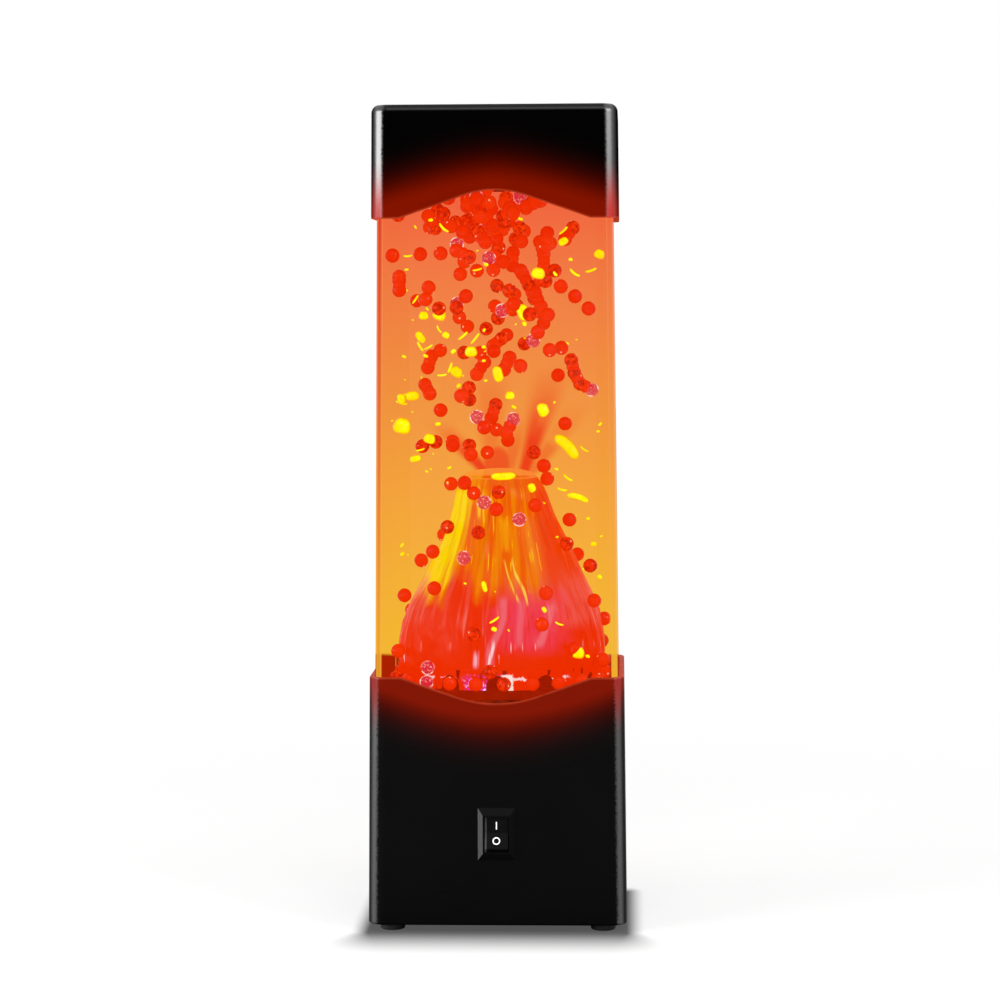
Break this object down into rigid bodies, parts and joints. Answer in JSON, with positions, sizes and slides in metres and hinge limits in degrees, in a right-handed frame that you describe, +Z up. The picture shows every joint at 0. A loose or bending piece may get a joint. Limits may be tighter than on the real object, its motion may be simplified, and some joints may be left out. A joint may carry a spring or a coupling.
{
  "type": "motion lamp",
  "caption": "Tall free-standing motion lamp: a water-filled clear tank with a volcano and drifting red beads between a black base with a rocker switch and a black lift-off cap.",
  "frame": {"origin": "on the table, under the middle of the lamp", "axes": "+Z up; the front with the rocker switch faces -Y, the power inlet faces +Y; +X to the right seen from the front"},
  "size_m": [0.1038, 0.0905, 0.33],
  "materials": {
    "black_shell": "black moulded plastic with a fine spark-eroded satin texture",
    "black_cover": "black moulded plastic, matt",
    "foot_rubber": "matt black rubber",
    "seal_rubber": "soft grey-black foam rubber",
    "plug_rubber": "translucent white rubber",
    "screw_steel": "zinc plated",
    "cell_can": "plain grey sleeve with a bare nub",
    "contact_steel": "nickel plated spring steel",
    "switch_black": "semi-gloss black nylon",
    "rocker_black": "glossy black",
    "mark_white": "white print",
    "terminal_brass": "tinned brass",
    "inlet_black": "black",
    "nut_steel": "nickel plated",
    "wire_red": "insulated wire",
    "wire_blue": "insulated wire",
    "inner_plastic": "dark plastic",
    "motor_steel": "drawn steel can",
    "shaft_steel": "ground stainless steel",
    "rotor_white": "white moulded plastic",
    "magnet_nickel": "nickel plated magnet",
    "board_green": "solder mask",
    "led_amber": "amber and red light packages",
    "clear_tank": "clear acrylic, polished",
    "smoke_clear": "clear plastic lit red",
    "volcano_glow": "translucent moulded plastic lit from below",
    "frosted_film": "frosted film lit amber",
    "bead_red": "glossy translucent red",
    "fleck_yellow": "glossy yellow",
    "water": "clear water"
  },
  "bodies": {
    "lamp": {"base_shell": "black_shell", "bottom_cover": "black_cover", "battery_box": "black_cover", "feet": "foot_rubber", "tank_gasket": "seal_rubber", "cover_screws": "screw_steel", "battery_box_screws": "screw_steel", "drive_plate_screws": "screw_steel", "motor_screws": "screw_steel", "battery_cells": "cell_can", "battery_contacts": "contact_steel", "switch_housing": "switch_black", "switch_terminals": "terminal_brass", "dc_inlet": "inlet_black", "dc_inlet_pin": "terminal_brass", "dc_inlet_nut": "nut_steel", "supply_wires": "wire_red", "motor_wires": "wire_blue", "drive_plate": "inner_plastic", "motor": "motor_steel", "led_board": "board_green", "leds": "led_amber", "water_tank": "clear_tank", "tank_floor": "clear_tank", "impeller_axle": "shaft_steel", "axle_retainer": "rotor_white", "pump_deck": "smoke_clear", "jet_nozzle": "smoke_clear", "volcano_foot": "volcano_glow", "volcano_cone": "volcano_glow", "backing_film": "frosted_film", "lava_beads": "bead_red", "lava_flecks": "fleck_yellow", "tank_water": "water"},
    "rocker": {"switch_rocker": "rocker_black", "rocker_marks": "mark_white"},
    "door": {"battery_door": "black_cover"},
    "drive": {"motor_shaft": "shaft_steel", "drive_rotor": "rotor_white", "drive_magnets": "magnet_nickel"},
    "stirrer": {"impeller": "rotor_white", "impeller_magnets": "magnet_nickel"},
    "cap": {"top_cap": "black_shell"},
    "plug": {"filler_plug": "plug_rubber"}
  },
  "joints": [
    {"name": "rocker_tilt", "type": "hinge", "parent": "lamp", "child": "rocker", "pos_m": [0, -0.04065, 0.03988], "axis": [1, 0, 0], "range_deg": [0, 24]},
    {"name": "door_swing", "type": "hinge", "parent": "lamp", "child": "door", "pos_m": [0, 0.021, 0.0041], "axis": [1, 0, 0], "range_deg": [0, 75]},
    {"name": "drive_spin", "type": "hinge", "parent": "lamp", "child": "drive", "pos_m": [0, 0, 0.0712], "axis": [0, 0, 1], "continuous": true},
    {"name": "stirrer_spin", "type": "hinge", "parent": "lamp", "child": "stirrer", "pos_m": [0, 0, 0.0832], "axis": [0, 0, 1], "continuous": true},
    {"name": "cap_lift", "type": "slide", "parent": "lamp", "child": "cap", "axis": [0, 0, 1], "range_m": [0, 0.06]},
    {"name": "plug_pull", "type": "slide", "parent": "lamp", "child": "plug", "axis": [0, 0, 1], "range_m": [0, 0.008]}
  ],
  "couplings": [
    {"joint": "stirrer_spin", "follows": "drive_spin", "ratio": 1}
  ]
}
